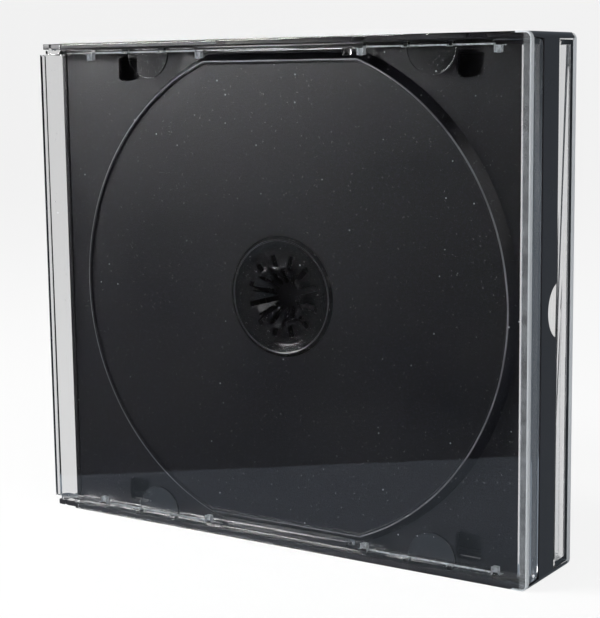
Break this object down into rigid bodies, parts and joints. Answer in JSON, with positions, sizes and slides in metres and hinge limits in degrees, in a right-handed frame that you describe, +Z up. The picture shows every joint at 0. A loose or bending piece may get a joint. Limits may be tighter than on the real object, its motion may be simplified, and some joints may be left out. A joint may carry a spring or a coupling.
{
  "type": "multi-disc storage case",
  "caption": "Clear hinged case with a black frame, a front disc tray and a two-sided tray that swings out to the rear.",
  "frame": {"origin": "middle of the underside, where the case stands on its long edge", "axes": "+X along the width away from the hinges, +Y from the front cover to the rear cover, +Z up"},
  "size_m": [0.142, 0.024, 0.125],
  "materials": {
    "black_frame": "smooth black moulded polystyrene",
    "black_tray": "fine-grained black moulded polystyrene",
    "clear_cover": "clear moulded polystyrene"
  },
  "bodies": {
    "frame": {"centre_frame": "black_frame", "front_tray": "black_tray"},
    "front_cover": {"front_cover": "clear_cover"},
    "rear_cover": {"rear_cover": "clear_cover"},
    "swing_tray": {"swing_tray": "black_tray"}
  },
  "joints": [
    {"name": "front_cover_hinge", "type": "hinge", "parent": "frame", "child": "front_cover", "pos_m": [-0.0685, -0.0096, 0.0625], "axis": [0, 0, -1], "range_deg": [0, 180]},
    {"name": "rear_cover_hinge", "type": "hinge", "parent": "frame", "child": "rear_cover", "pos_m": [-0.0685, 0.0096, 0.0625], "axis": [0, 0, 1], "range_deg": [0, 180]},
    {"name": "swing_tray_hinge", "type": "hinge", "parent": "frame", "child": "swing_tray", "pos_m": [-0.064, 0.001, 0.0625], "axis": [0, 0, 1], "range_deg": [0, 90]}
  ],
  "couplings": [
    {"joint": "swing_tray_hinge", "follows": "rear_cover_hinge", "ratio": 0.5}
  ]
}
